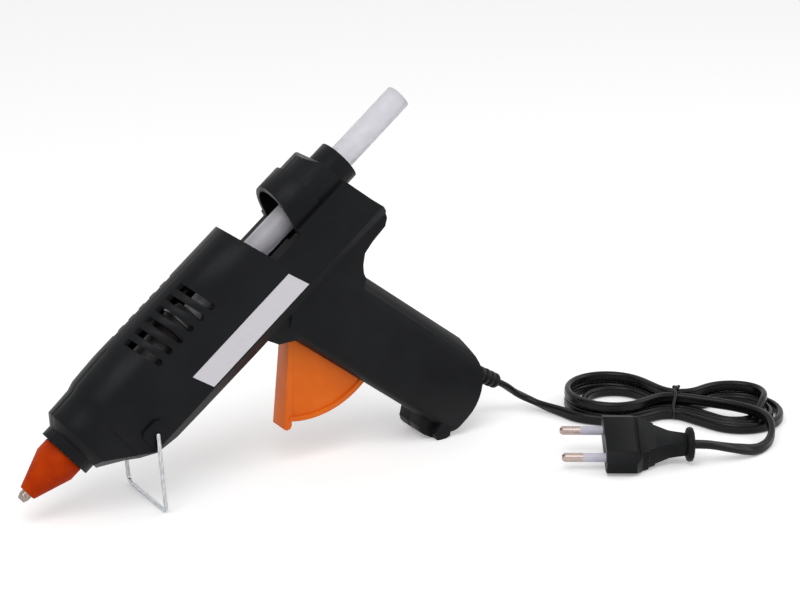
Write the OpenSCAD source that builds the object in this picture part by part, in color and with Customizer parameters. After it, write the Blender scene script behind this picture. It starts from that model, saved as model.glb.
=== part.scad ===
// Hand-held hot glue gun with wire stand, stick, cord hank and Europlug.
// The gun is built level (x to the rear, z up) and then pitched onto its stand.

/* [Pose] */
// Nose-down pitch of the barrel on its stand, degrees
pitch = 39; // [34:0.5:44]

/* [Barrel] */
// Radius of the rounded barrel top
barrel_r = 16.5; // [15:0.1:19]
// Depth of the flat bottom below the stick axis
barrel_low = 27.6; // [25:0.1:32]
// Depth of the side crease below the stick axis
crease_low = 21.5; // [18:0.5:24]
// Half width of the flat bottom
bottom_half = 12.5; // [10:0.5:15]
// Wall thickness of the housing
wall = 2.2; // [1.6:0.1:3]
// Distance from the trigger pivot to the stick window
window_gap = 8.8; // [5:0.2:12]
// Length of the stick window
window_len = 14.7; // [11:0.1:18]
// Depth of the window sill below the stick axis
sill_low = 1.5; // [0:0.1:4]
// Radius of the hump over the stick
hump_r = 14.5; // [13:0.1:16]
// Length of the hump behind the window
hump_len = 28.5; // [25:0.5:33]
// Radius of the rear collar
collar_r = 9.6; // [9:0.1:12]
// Length of the rear collar behind the hump
collar_len = 8.6; // [5:0.1:14]
// Radius of the nose collar
nose_collar_r = 12; // [10:0.1:14]
// Depth of the bevels on the nose's lower corners
nose_bevel = 1.2; // [0.6:0.2:3]
// Reach of the hand guard behind the trigger pivot
guard_out = 58.8; // [55:0.2:63]
// Depth of the hand guard below the stick axis
guard_low = 32; // [30:0.2:35]
// Length of the label
label_len = 58.3; // [40:0.5:62]
// Height of the label
label_h = 10.8; // [8:0.2:14]
// Front corner of the label
label_front = 58.6; // [54:0.2:66]
// Number of vent slots on each side
vent_count = 6; // [3:1:8]
// Distance between vent slots
vent_pitch = 6.2; // [5:0.1:8]
// Width of one vent slot
vent_w = 2.9; // [1.5:0.1:3.4]

/* [Grip] */
// Backward rake of the grip, degrees
rake = 13.5; // [8:0.5:20]
// Half width of the grip
grip_half = 13; // [11:0.5:16]
// Depth of the grip from front to back
grip_depth = 40.9; // [36:0.5:46]
// Depth of the grip end below the stick axis
grip_low = 134.3; // [126:0.5:145]
// Radius of the rounded heel back
heel_r = 22; // [16:0.5:26]
// Reach of the toe in front of the grip
toe_out = 5.4; // [4:0.1:7]
// Half width of the toe ridge
toe_half = 8.4; // [6:0.5:11]
// Corner radius of the grip front
grip_front_round = 6; // [3:0.5:10]
// Corner radius of the grip back
grip_back_round = 9; // [4:0.5:12]

/* [Glue stick] */
// Diameter of the glue stick
stick_d = 11.2; // [10.8:0.1:12]
// Length of stick left behind the rear collar
stick_out = 37.9; // [12:0.1:90]
// Front end of the solid stick
stick_front = 44; // [43:0.5:60]

/* [Heater] */
// Wall of the melt chamber round the stick bore
chamber_wall = 2.6; // [2:0.1:3.5]
// Front end of the melt chamber
chamber_front = 8; // [7:0.1:9]
// Rear end of the melt chamber
chamber_end = 70; // [66:0.5:72]
// Thickness of a support ring between chamber and seat
ring_t = 3.1; // [2:0.1:3.6]
// Thickness of the PTC heater with its electrodes
heater_t = 3.6; // [3:0.1:5]
// Width of the PTC heater
heater_w = 10; // [8:0.5:12]
// Thickness of the insulating wrap
wrap_t = 1.1; // [0.6:0.1:1.4]
// Length of the nozzle outside the nose
nozzle_len = 24.4; // [22:0.2:30]
// Radius of the nozzle cover at the nose
cover_r = 9.3; // [8.8:0.1:9.4]

/* [Trigger] */
// Station of the trigger pivot
pivot_u = 108; // [104:0.5:112]
// Depth of the trigger pivot below the stick axis
pivot_low = 42; // [40:0.5:46]
// Radius of the trigger sector
sector_r = 41.5; // [38:0.5:44]
// Half width of the trigger
trigger_half = 5.6; // [5:0.2:7]
// Pull of the trigger, degrees
trigger_pull = 25; // [15:1:28]
// Depth of the drive pin below the stick axis
drive_low = 17.3; // [16:0.1:18.5]
// Radius of the trigger pin
trigger_pin_r = 2; // [1.5:0.1:2.5]

/* [Stand] */
// Radius of the stand wire
wire_r = 0.9; // [0.7:0.05:1.2]
// Station of the stand pivot
stand_u = 31.8; // [28:0.2:36]
// Depth of the stand pivot below the stick axis
stand_low = 15.3; // [12:0.1:18]
// Height of the pivot pads over the barrel side
pad_h = 1.3; // [0.8:0.1:2.5]
// Shift of the feet to the rear of the pivot
foot_shift = 2.3; // [-4:0.1:6]

/* [Cord and plug] */
// Width of the flat twin cord
cord_w = 5.2; // [4.6:0.1:6]
// Thickness of the flat twin cord
cord_t = 3.2; // [2.8:0.1:3.6]
// Distance between the plug pins
pin_gap = 18.6; // [17.5:0.1:19.2]
// Radius of a plug pin
pin_r = 2; // [1.9:0.05:2.4]
// Free length of a plug pin
pin_len = 19; // [18:0.5:20]
// Length of the plug body with its tail flange
plug_len = 39; // [34:0.5:44]

/* [Hidden] */
$fn = 64;
cp = cos(pitch);
sp = sin(pitch);
stick_r = stick_d / 2;
inner_r = barrel_r - wall;
run = 0.1;
window_front = pivot_u + window_gap;
window_rear = window_front + window_len;
hump_end = window_rear + hump_len;
collar_end = hump_end + collar_len;
guard_end = pivot_u + guard_out;
stick_end = collar_end + stick_out;
seat_u = chamber_front + 6.2;
seat_len = 7;
block_u = chamber_front + 19;
block_end = chamber_end - 11;
carriage_u = pivot_u - 13;
carriage_len = 16;
carriage_half = 9.5;
lip_u = pivot_u - 13.6;
grip_front = pivot_u - 6.8;
heel_a = [front(grip_low - 3.3) - toe_out, -grip_low + 3.3];
heel_len = 4.3;
heel_b = heel_a + heel_len * [cp, -sp];
heel_mid = (heel_a + heel_b) / 2;
origin_x = heel_mid[0] * cp - heel_mid[1] * sp;
origin_z = heel_mid[0] * sp + heel_mid[1] * cp;
drive_arm = pivot_low - drive_low;
drive_u = pivot_u + drive_arm * tan(trigger_pull / 2);
stand_drop = stand_u * sp - stand_low * cp - origin_z - wire_r;
foot_du = foot_shift * cp - stand_drop * sp;
foot_dv = -foot_shift * sp - stand_drop * cp;
leg_len = norm([foot_du, foot_dv]);
leg_angle = atan2(foot_dv, foot_du);
pad_out = barrel_r + pad_h;
pad_half = 5;
hump_rise = 2.8;
barrel_rise = 2.2;
leg_half = pad_out + wire_r + run;
bore_r = stick_r + 0.2;
chamber_r = bore_r + chamber_wall;
ring_r = chamber_r + ring_t;
wrap_low = chamber_r + 2 * wrap_t + heater_t + 2.1;
heater_low = wrap_low - wrap_t;
tunnel_half = heater_w / 2 + wrap_t;
block_low = wrap_low + 2.5;
heel_c = [back(grip_low - heel_r) - heel_r - 3, -grip_low + heel_r];
relief_at = heel_c + [22, -24.7];
relief_dir = [sin(159), cos(159)];
clamp_at = relief_at - 26 * relief_dir;
claw_at = [carriage_u - 2.5, -7];
claw_r = 1;
drive_r = 1.5;
arm_half = 2.6;
rail_in = inner_r - 3.7;
boss_r = 4.2;
screw_r = 1.3;
head_y = 9;
clamp_half = 3;
relief_neck = 3.1;
guide_r = 8;
tip_r = 2.4;
shank_r = 6.2;
root_r = 4.2;
sleeve_r = pin_r;
sleeve_root = 1.65;
core_r = 1.4;
tie_w = 6;
tie_t = 0.8;
// Screw stations as x and z in the level frame
screw_at = [[stand_u - 9.6, 12.4 - barrel_low], [chamber_end + 8, 10.1 - barrel_low], [back(40) - 6, -37],
  [guard_end - 9.8, -21], [back(98) - 6, -98], [front(grip_low - 10.8) + 5.6, -grip_low + 10.8]];
// Places of hank and plug in the standing frame
hank_at = [109.5, -41.7];
hank_turn = -43.4;
hank_h = 10.8;
waist_half = 10;
hank_end_r = 21.8;
hank_reach = 29.3;
plug_at = [30.6, -60.4, 8.8];
plug_turn = -32;
plug_roll = 16;
// Route of the cord from the relief to the hank, in the standing frame
relief_tip = stand_point(relief_at + 6.5 * relief_dir);
lead_route = [relief_tip, stand_point(relief_at + 12 * relief_dir), [48, 1, 8.8], [53.6, -1.8, 5.4],
  [58, -9, 3.2],
  [61.6, -18, 2.4], [65.4, -28, 2.4], [71, -34.6, 3], [76, -37.5, 4.4]];
// Route of the cord from the hank to the plug, in the standing frame
tail_route = [[124, -73, 5.4], [127.6, -84, 4], [121.4, -94.4, 2.4], [110.6, -98.8, 2.4], [98, -98.4, 5.4],
  plug_point(pin_len + plug_len + 6), plug_point(pin_len + plug_len)];

// Front and back lines of the grip at a depth below the stick axis
function front(d) = grip_front + (d - 40) * tan(rake);
function back(d) = front(d) + grip_depth;
// Point of the level gun in the standing frame
function stand_point(p) = [p[0] * cp - p[1] * sp - origin_x, 0, p[0] * sp + p[1] * cp - origin_z];
// Point on the plug axis, from the pin tips towards the tail
function plug_point(d) = plug_at + d * [cos(plug_turn), sin(plug_turn), 0];

// Points on an arc from angle a to angle b
function arc(c, r, a, b, n = 10) =
  [for (i = [0:n]) c + r * [cos(a + (b - a) * i / n), sin(a + (b - a) * i / n)]];

// Pitch the level gun onto its stand, origin at the heel
module gun_pose() {
  translate([-origin_x, 0, -origin_z]) rotate([0, -pitch, 0]) children();
}

// Side outline given as x and z, spread across y
module side(points, y0, y1) {
  translate([0, y1, 0]) rotate([90, 0, 0]) linear_extrude(height = y1 - y0) polygon(points);
}

// Cross section given as y and z, run along x
module along(x0, x1) {
  translate([x0, 0, 0]) rotate([90, 0, 90]) linear_extrude(height = x1 - x0) children();
}

// Round bar along x
module bar_x(r, x0, x1) {
  translate([x0, 0, 0]) rotate([0, 90, 0]) cylinder(r = r, h = x1 - x0);
}

// Round bar along y at a given x and z
module bar_y(at, r, y0, y1) {
  translate([at[0], y1, at[1]]) rotate([90, 0, 0]) cylinder(r = r, h = y1 - y0);
}

// Turned piece about the x axis from radius and station pairs
module turned(points) {
  rotate([0, 90, 0]) rotate_extrude() polygon(points);
}

// Round bar between two points
module rod(a, b, r) {
  d = b - a;
  len = norm(d);
  translate(a) rotate([0, acos(d[2] / len), atan2(d[1], d[0])]) cylinder(r = r, h = len, $fn = 32);
}

function unit(v) = v / norm(v);
// Direction of a route at point i
function along_route(p, i) = i == 0 ? unit(p[1] - p[0]) : i == len(p) - 1 ? unit(p[i] - p[i - 1]) :
  unit(unit(p[i] - p[i - 1]) + unit(p[i + 1] - p[i]));
// Ring of n points round point i of a route, w wide and t thick
function route_ring(p, i, w, t, n) = let (d = along_route(p, i), a = unit(cross(d, [0, 0, 1])),
  b = cross(a, d))
  [for (k = [0:n - 1]) p[i] + a * w / 2 * cos(360 * k / n) + b * t / 2 * sin(360 * k / n)];

// Tube swept along a route as one closed surface
module swept(p, w, t, n) {
  m = len(p);
  rings = [for (i = [0:m - 1]) each route_ring(p, i, w, t, n)];
  lower = [for (i = [0:m - 2]) for (k = [0:n - 1]) [i * n + k, i * n + (k + 1) % n,
    (i + 1) * n + (k + 1) % n]];
  upper = [for (i = [0:m - 2]) for (k = [0:n - 1]) [i * n + k, (i + 1) * n + (k + 1) % n, (i + 1) * n + k]];
  ends = [[for (k = [0:n - 1]) n - 1 - k], [for (k = [0:n - 1]) (m - 1) * n + k]];
  polyhedron(points = rings, faces = concat(lower, upper, ends));
}

// Barrel section: round top, flat sides, chamfered lower edges
module barrel_section(inset) {
  r = barrel_r - inset;
  low = barrel_low - inset;
  union() {
    translate([0, barrel_rise]) circle(r = r);
    polygon([[-r, barrel_rise], [r, barrel_rise], [r, -crease_low + inset * 0.3],
      [bottom_half - inset * 0.7, -low],
      [-bottom_half + inset * 0.7, -low], [-r, -crease_low + inset * 0.3]]);
  }
}

// Barrel and rear body outline from the side, with the stick window cut down to its sill
function body_outline() = concat(
  [[5.5, 0.4 - nose_collar_r], [6.5, 0.2 - nose_collar_r], [15.3, 11.4 - barrel_low],
    [20.3, 6.5 - barrel_low]],
  [[25.8, 4.7 - barrel_low], [30.5, 3.4 - barrel_low], [37, 1.4 - barrel_low], [52, 0.8 - barrel_low]],
  [[lip_u - 2.4, -barrel_low - 0.2]],
  [[lip_u, 9 - pivot_low], [lip_u + 2.6, 7 - pivot_low], [front(37.5), 4 - pivot_low],
    [back(43) - 1.6, -43]],
  [[back(40), -40], [back(37) + 2.8, -37], [back(34) + 7.4, -guard_low - 1.6],
    [guard_end - 12.8, -guard_low - 0.4]],
  [[guard_end - 4.4, 0.2 - guard_low], [guard_end - 1.4, 2.4 - guard_low], [guard_end, 6 - guard_low]],
  [[guard_end - 0.2, 9.5 - guard_low], [guard_end - 2.4, 17 - guard_low], [hump_end + 2, -5],
    [hump_end + 0.5, 1]],
  [[window_rear + 0.5, 1], [window_rear, -sill_low], [window_front, -sill_low]],
  [[window_front - 0.277 * (20 + sill_low), 20]],
  [[5.5, 20]]);

// Nose narrowing seen from above
function nose_half(e) = [[5, nose_collar_r - 0.4 - e], [9, barrel_r - 0.8 - e],
  [20.6, barrel_r - 0.5 - e], [21.2, barrel_r + 1],
  [23, barrel_r + 1]];
// Nose profile over the top, from the collar up to the raised barrel
function nose_top(e) = [[5, nose_collar_r - 0.4 - e], [9, barrel_r - 0.3 - e], [20.6, barrel_r + 0.1 - e],
  [24.6, barrel_r + 1.2 - e], [31, barrel_r + 1.6 - e], [44, barrel_r + barrel_rise - e],
  [45, barrel_r + 6]];
function nose_plan(e) = concat([for (i = [0:4]) [nose_half(e)[i][0], -nose_half(e)[i][1]]],
  [[guard_end + 4, -barrel_r - 1], [guard_end + 4, barrel_r + 1]], [for (i = [0:4]) nose_half(e)[4 - i]]);

module barrel_outer() {
  difference() {
    intersection() {
      along(5, guard_end + 2) barrel_section(0);
      side(body_outline(), -20, 20);
      translate([0, 0, -50]) linear_extrude(height = 80) polygon(nose_plan(0));
      nose_round(0);
    }
    nose_chamfer(0);
  }
}

// Bevels along the two lower corners of the nose
module nose_chamfer(e) {
  out = (10 - nose_bevel - e) * sqrt(0.5);
  for (s = [-1, 1]) translate([13.4, s * (barrel_r - 2 + out), 11.5 - barrel_low - out])
    rotate([45, 31.9, s * 15.8]) translate([-20, -10, -10]) cube([40, 20, 20]);
}

// Hand guard web behind the grip and lip blocks in front of the trigger
module guard_outer() {
  side([[back(43) - 1.6, -43], [back(40), -40], [back(37) + 2.8, -37], [back(34) + 7.4, -guard_low - 1.6],
    [guard_end - 12.8, -guard_low - 0.4], [guard_end - 4.4, 0.2 - guard_low],
      [guard_end - 1.4, 2.4 - guard_low],
    [guard_end, 6 - guard_low], [guard_end - 0.4, 10 - guard_low], [back(43) - 11, 10 - guard_low],
    [back(47) - 9, -47]], -bottom_half, bottom_half);
  side([[lip_u - 2.4, 2 - barrel_low], [lip_u - 2.4, -barrel_low], [lip_u, 9 - pivot_low],
    [lip_u + 2.6, 7 - pivot_low],
    [front(38) + 0.4, 4 - pivot_low], [front(38) + 8, -38],
      [front(38) + 8, 2 - barrel_low]], 0.2 - bottom_half, bottom_half - 0.2);
}

// Round upper half of the nose, open below the stick axis
module nose_round(e) {
  turned(concat([[0, 5]], [for (q = nose_top(e)) [q[1], q[0]]], [[barrel_r + 20, 45.1],
    [barrel_r + 20, guard_end + 4],
    [0, guard_end + 4]]));
  translate([0, -30, -50]) cube([guard_end + 4, 60, 50]);
}

// Grip outline from the side, from the trigger to the heel flat
function grip_outline() = concat(
  [[front(31), -34], [front(40), -40], [front(101.5) - 0.4, -101.5]],
  [[front(122), -122], heel_a + [1.6, 3.6], heel_a, heel_b, heel_b + [2.4, -0.6]],
  arc(heel_c, heel_r, -90, 0, 10),
  [[back(104.5) - 0.7, -104.5], [back(41.6) - 0.9, -41.6], [back(41.6) - 0.9, 3 - barrel_low],
    [pivot_u + 2, 3 - barrel_low]]);

// Grip section across its raked axis
module grip_prism(inset) {
  fore = grip_front + inset;
  aft = grip_front + grip_depth - inset;
  half = grip_half - inset;
  fr = grip_front_round - inset;
  br = grip_back_round - inset;
  shape = concat(
    arc([fore + fr, -half + fr], fr, 180, 270, 8),
    arc([aft - br, -half + br], br, 270, 360, 8),
    arc([aft - br, half - br], br, 0, 90, 8),
    arc([fore + fr, half - fr], fr, 90, 180, 8));
  squash = [for (q = shape) [(q[0] - grip_front) * cos(rake), q[1]]];
  translate([grip_front, 0, -40]) rotate([0, -rake, 0]) translate([0, 0, -130])
    linear_extrude(height = 160) polygon(squash);
}

// Toe ridge at the bottom of the grip front, with the heel flat
module toe_outer() {
  top = grip_low - 16.8;
  heel_half = grip_half - 1;
  side([[front(top), -top], heel_a + [-1.6, 10.6], heel_a + [-2.5, 8.4], heel_a + [-2.5, 6],
    heel_a + [-1, 2],
    heel_a, heel_b, heel_b + [2.4, -0.6], heel_b + [6, 3], [front(top) + 8, -top]], -toe_half, toe_half);
  side([heel_a + [0.6, 4], heel_a, heel_b, heel_b + [2.4, -0.6], heel_b + [6, 3], heel_b + [6, 8]],
    -heel_half, heel_half);
}

module grip_outer() {
  intersection() {
    grip_prism(0);
    side(grip_outline(), -20, 20);
  }
  toe_outer();
}

// Section of the hump, its round top raised above the stick axis
module hump_section(rise) {
  translate([0, rise]) circle(r = hump_r);
  translate([-hump_r, -12]) square([2 * hump_r, 12 + rise]);
}

// Hump over the stick behind the window, its front ring higher than the rest
module hump_outer() {
  intersection() {
    union() {
      along(window_rear - 2, hump_end - 12.8) hump_section(hump_rise);
      along(hump_end - 13, hump_end + 1) hump_section(hump_rise - 1.5);
    }
    side([[window_rear, -10], [window_rear, -sill_low], [window_rear + 4.6, hump_r + 3.5],
      [hump_end - 4, hump_r + 3.5], [hump_end - 4, hump_r + 0.9], [hump_end - 0.8, hump_r - 3],
        [hump_end, 5],
      [hump_end, -10]], -20, 20);
  }
  bar_x(collar_r, hump_end - 4, collar_end);
}

// Cavity of barrel and hand guard, walls left at full thickness
module barrel_hollow() {
  difference() {
    barrel_space();
    nose_chamfer(wall);
  }
}

module barrel_space() {
  intersection() {
    along(13, guard_end - 3) barrel_section(wall);
    nose_round(wall);
    side([[13, 2.2 - nose_collar_r], [16.8, 12.6 - barrel_low], [21.5, 9.4 - barrel_low],
      [26.2, 8 - barrel_low],
      [31.4, 5.6 - barrel_low], [37.6, 3.6 - barrel_low], [52, 3 - barrel_low], [lip_u, wall - barrel_low],
      [lip_u + 2.6, 10 - pivot_low], [front(40) + 1, 6 - pivot_low], [back(40) - 2.3, -40],
        [back(37) + 0.6, -35.2],
      [back(34) + 6.6, 0.5 - guard_low], [guard_end - 13, wall - 0.4 - guard_low],
      [guard_end - 5.2, wall + 0.2 - guard_low], [guard_end - 3.2, 4.4 - guard_low],
        [guard_end - 2.4, 8.5 - guard_low],
      [guard_end - 4.8, 17 - guard_low], [hump_end - 0.4, -5], [hump_end - 2, -sill_low - wall],
      [window_front - 2.4, -sill_low - wall],
        [window_front - 2.4 - 0.277 * (16 + sill_low), barrel_r - 0.5],
      [15.5, barrel_r - 0.5], [13, nose_collar_r + 1]], -20, 20);
  }
}

// Cavity of the grip
module grip_hollow() {
  intersection() {
    grip_prism(wall);
    side(concat([[front(34) + 2.4, -34], [front(118) + 2, -118], heel_a + [3.4, 4.6], heel_b + [2.4, 2.2]],
      arc(heel_c, heel_r - wall, -90, 0, 10),
      [[back(104.5) - 3, -104.5], [back(42) - 3.2, -42], [back(42) - 3.4, 6 - barrel_low],
        [pivot_u - 5, 6 - barrel_low]]), -20, 20);
  }
}

module shell_outer() {
  difference() {
    union() {
      barrel_outer();
      guard_outer();
      grip_outer();
      hump_outer();
      bar_x(nose_collar_r, 1, 8);
      // Square pads of the stand
      for (s = [-1, 1])
        side([for (q = [[-1, -0.7], [-0.7, -1], [0.7, -1], [1, -0.7], [1, 0.7], [0.7, 1], [-0.7, 1],
          [-1, 0.7]]) [stand_u, -stand_low] + pad_half * q],
          min(s * 14, s * pad_out), max(s * 14, s * pad_out));
    }
    barrel_hollow();
    grip_hollow();
    // Tunnel of the hump, open to the window
    intersection() {
      union() {
        bar_x(hump_r - wall, window_rear - 4, hump_end - wall);
        translate([0, 0, hump_rise]) bar_x(hump_r - wall, window_rear - 4, hump_end - 13 - wall);
      }
      translate([window_rear - 6, -20, -sill_low - wall]) cube([60, 40, 40]);
    }
    // Opening under the window between sill and stick
    translate([window_front - 4, 4 - inner_r, -8])
      cube([window_rear - window_front + 8, 2 * inner_r - 8, 12]);
    // Stick way through the window walls
    bar_x(stick_r + 0.6, window_front - 9, window_rear + 6);
    // Nose bore round the nozzle
    bar_x(cover_r + 0.3, 0, 14);
    // Trigger slot in the grip front and barrel bottom
    intersection() {
      bar_y([pivot_u, -pivot_low], sector_r + 0.7, -trigger_half - 0.4, trigger_half + 0.4);
      side([[pivot_u - 20, 22 - pivot_low], [pivot_u - 28, -48 - pivot_low],
        [pivot_u + 13, -48 - pivot_low],
        [pivot_u, 20 - pivot_low]], -20, 20);
    }
    // Vent slots over the shoulders
    for (i = [0:vent_count - 1]) translate([chamber_end - 16.6 + i * vent_pitch, 0, 4.8])
      rotate([0, -12, 0])
      for (s = [-1, 1]) {
        bar_y([0, vent_w / 2], vent_w / 2, s > 0 ? 5 : -20, s > 0 ? 20 : -5);
        translate([-vent_w / 2, s > 0 ? 5 : -20, vent_w / 2]) cube([vent_w, 15, 17 - vent_w / 2]);
      }
    // Label recess on the near side
    label_prism(-barrel_r - 1, 0.3 - barrel_r);
  }
}

// Ribs, bosses and seats, drawn through and then trimmed to the walls
module ribs() {
  for (p = screw_at) bar_y(p, boss_r, -15.5, 15.5);
  // Trigger pin bosses
  for (s = [-1, 1]) bar_y([pivot_u, -pivot_low], trigger_pin_r + 2.4, min(s * (trigger_half + 0.4), s * 14),
    max(s * (trigger_half + 0.4), s * 14));
  // Carriage rails above and below its tongues
  for (s = [-1, 1]) for (t = [-1, 1])
    translate([carriage_u - 13, s > 0 ? rail_in : -barrel_r, t > 0 ? 1.5 + run : -3.5 - run])
      cube([carriage_len + 15, barrel_r - rail_in, 2]);
  // Ring seats for the chamber supports
  for (x = [seat_u, seat_u + 5.2, chamber_end - 9.2, chamber_end - 4])
    along(x, x + 1.8) barrel_section(0.8);
  // Seat of the rear guide
  along(hump_end - 9, hump_end - 7) circle(r = hump_r - 0.8);
  // Posts that hold the cord clamp
  for (s = [-1, 1]) bar_y(clamp_at, 2.4, min(s * clamp_half, s * 12), max(s * clamp_half, s * 12));
}

// Space that ribs may fill, just inside the outer surface
module rib_space() {
  difference() {
    rib_barrel();
    nose_chamfer(0.8);
  }
  rib_grip();
}

module rib_barrel() {
  intersection() {
    along(8, guard_end - 0.8) barrel_section(0.8);
    side([[8, 1.8 - nose_collar_r], [15.6, 12.2 - barrel_low], [20.6, 8.1 - barrel_low],
      [26, 6.6 - barrel_low],
      [30.8, 4.2 - barrel_low], [37.2, 2.2 - barrel_low], [52, 1.6 - barrel_low],
        [lip_u - 1.8, 0.8 - barrel_low],
      [lip_u + 1, 9.8 - pivot_low], [front(38), 5 - pivot_low], [back(42) - 1.6, -42],
      [back(37) + 2, -36.6], [guard_end - 12.8, 0.4 - guard_low], [guard_end - 4.6, 1 - guard_low],
        [guard_end - 1.2, 6 - guard_low],
      [hump_end + 1, -4], [window_rear, -sill_low - 0.9], [window_front, -sill_low - 0.9],
      [window_front - 0.8 - 0.277 * (18 + sill_low), 18], [14, 18], [8, nose_collar_r]], -20, 20);
    translate([0, 0, -50]) linear_extrude(height = 80) polygon(nose_plan(0.8));
    nose_round(0.8);
  }
}

module rib_grip() {
  intersection() {
    grip_prism(0.8);
    side(concat([[front(36) + 0.8, -36], [front(121) + 0.8, -121], heel_a + [2.4, 4], heel_b + [2.4, 0.8]],
      arc(heel_c, heel_r - 0.8, -90, 0, 10),
      [[back(104.5) - 1.6, -104.5], [back(42) - 1.8, -42], [back(42) - 1.8, -30],
        [pivot_u - 4, -30]]), -20, 20);
  }
  intersection() {
    bar_x(hump_r - 0.8, window_rear + 6, hump_end);
    translate([window_rear, -20, -sill_low - wall - 0.4]) cube([60, 40, 40]);
  }
}

// Clear spaces kept for the pieces inside
module shell_clear() {
  // Chamber supports and nozzle root
  bar_x(ring_r, seat_u, seat_u + seat_len);
  bar_x(ring_r, chamber_end - 9.2, chamber_end - 9.2 + seat_len);
  bar_x(chamber_r + 1.2, 12, chamber_end + 1);
  // Heater block and its terminals
  translate([block_u - 1, -tunnel_half - 2.3, -block_low - 0.6])
    cube([block_end - block_u + 2, 2 * tunnel_half + 4.6, block_low]);
  translate([block_end, -tunnel_half - 2.6, 2.5 - barrel_low])
    cube([9.5, 2 * tunnel_half + 5.2, barrel_low - 13.5]);
  // Rear guide and stick way
  bar_x(guide_r, hump_end - 12, collar_end + 1);
  // Carriage way between the rails
  translate([carriage_u - 13, run - rail_in - 0.2, -carriage_half - 0.3])
    cube([carriage_len + 15, 2 * rail_in + 0.2, 2 * carriage_half + 0.6]);
  // Trigger pin
  bar_y([pivot_u, -pivot_low], trigger_pin_r, -11, 11);
  // Stand wire ends
  bar_y([stand_u, -stand_low], wire_r + 0.05, -30, 30);
  // Strain relief neck and flange
  relief_pose() cylinder(r = relief_neck, h = 60, center = true);
  relief_pose() translate([0, 0, -30]) cylinder(r = relief_neck + 1.6, h = 14.8);
  // Screw shanks, and head pockets from the far side
  for (p = screw_at) {
    bar_y(p, screw_r, -8, 20);
    bar_y(p, screw_r * 2 + 0.3, head_y, 22);
  }
}

module shell() {
  difference() {
    union() {
      shell_outer();
      intersection() {
        ribs();
        rib_space();
      }
    }
    shell_clear();
  }
}

// Slanted label plate
module label_prism(y0, y1) {
  top = crease_low - 0.7 - label_h;
  slant = label_h * 0.325;
  side([[label_front, -top], [label_front + slant, -top - label_h],
    [label_front + slant + label_len, -top - label_h],
    [label_front + label_len, -top]], y0, y1);
}

// Axis of the strain relief, z along the cord
module relief_pose() {
  translate([relief_at[0], 0, relief_at[1]]) rotate([0, 159, 0]) children();
}

// Near half of the housing
module left_housing() {
  color("#1f2022") gun_pose() intersection() {
    shell();
    translate([-10, -30, -180]) cube([220, 30, 220]);
  }
}

// Far half of the housing with the screw pockets
module right_housing() {
  color("#1f2022") gun_pose() intersection() {
    shell();
    translate([-10, 0, -180]) cube([220, 30, 220]);
  }
}

// Housing screws, heads in the pockets of the far half
module housing_screws() {
  color("#9a9a9a") gun_pose() for (p = screw_at) difference() {
    union() {
      bar_y(p, screw_r, -7, head_y + 0.2);
      bar_y(p, screw_r * 2, head_y, head_y + 2);
    }
    translate([p[0] - 2, head_y + 1.2, p[1] - 0.35]) cube([4, 2, 0.7]);
    translate([p[0] - 0.35, head_y + 1.2, p[1] - 2]) cube([0.7, 2, 4]);
  }
}

// Bare label plate in its recess
module rating_plate() {
  color("#cfccd2") gun_pose() label_prism(-barrel_r - 0.1, 0.3 - barrel_r);
}

// Steel nozzle, tip outside the cover, root screwed into the chamber
module nozzle() {
  color("#b8b8b8") gun_pose() turned([[0.8, -nozzle_len], [1.6, -nozzle_len], [tip_r, 1.9 - nozzle_len],
    [tip_r, 4.9 - nozzle_len],
    [shank_r, -6], [shank_r, chamber_front], [root_r, chamber_front], [root_r, chamber_front + 8],
      [1.5, chamber_front + 8],
    [1.5, 4.4 - nozzle_len], [0.8, 3.4 - nozzle_len]]);
}

// Silicone cover on the nozzle
module nozzle_cover() {
  color("#a83208") gun_pose() turned([[tip_r, 3.8 - nozzle_len], [tip_r + 1.2, 3.8 - nozzle_len],
    [tip_r + 1.4, 4.2 - nozzle_len],
    [cover_r - 0.3, -5.6], [cover_r, -4.8], [cover_r, 0.9], [shank_r, 0.9], [shank_r, -6],
      [tip_r, 4.9 - nozzle_len]]);
}

// Cast melt chamber with the heater tunnel below
module melt_chamber() {
  color("#a9adb0") gun_pose() difference() {
    union() {
      bar_x(chamber_r, chamber_front, chamber_end);
      translate([block_u, -tunnel_half - 2, -block_low])
        cube([block_end - block_u, 2 * tunnel_half + 4, block_low - 4]);
    }
    bar_x(root_r, chamber_front - 1, chamber_front + 8);
    turned([[0, chamber_front + 7.9], [1.5, chamber_front + 7.9], [bore_r, chamber_front + 13],
      [bore_r, chamber_end + 1],
      [0, chamber_end + 1]]);
    translate([block_u - 1, -tunnel_half, -wrap_low])
      cube([block_end - block_u + 2, 2 * tunnel_half, 2 * wrap_t + heater_t]);
  }
}

// PTC heater tablet with its two electrode tabs
module ptc_heater() {
  color("#3f4245") gun_pose() union() {
    translate([block_u + 2, -heater_w / 2, -heater_low])
      cube([block_end - block_u - 4, heater_w, heater_t]);
    translate([block_end - 2.1, -4.2, heater_t - 0.7 - heater_low]) cube([5.6, 2.4, 0.5]);
    translate([block_end - 2.1, 1.8, 0.2 - heater_low]) cube([5.6, 2.4, 0.5]);
  }
}

// Insulating wrap between heater and chamber
module heater_insulator() {
  color("#b98a3a") gun_pose() difference() {
    translate([block_u + 0.5, -tunnel_half, -wrap_low])
      cube([block_end - block_u - 1.5, 2 * tunnel_half, 2 * wrap_t + heater_t]);
    translate([block_u - 7, -heater_w / 2, wrap_t - wrap_low]) cube([chamber_end, heater_w, heater_t]);
  }
}

// Support ring round the chamber
module support_ring(x) {
  difference() {
    bar_x(ring_r, x, x + seat_len);
    bar_x(chamber_r, x - 1, x + seat_len + 1);
  }
}

// Front heat-proof support ring
module front_support() {
  color("#6b4a33") gun_pose() support_ring(seat_u);
}

// Rear heat-proof support ring
module rear_support() {
  color("#6b4a33") gun_pose() support_ring(chamber_end - 9.2);
}

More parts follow.
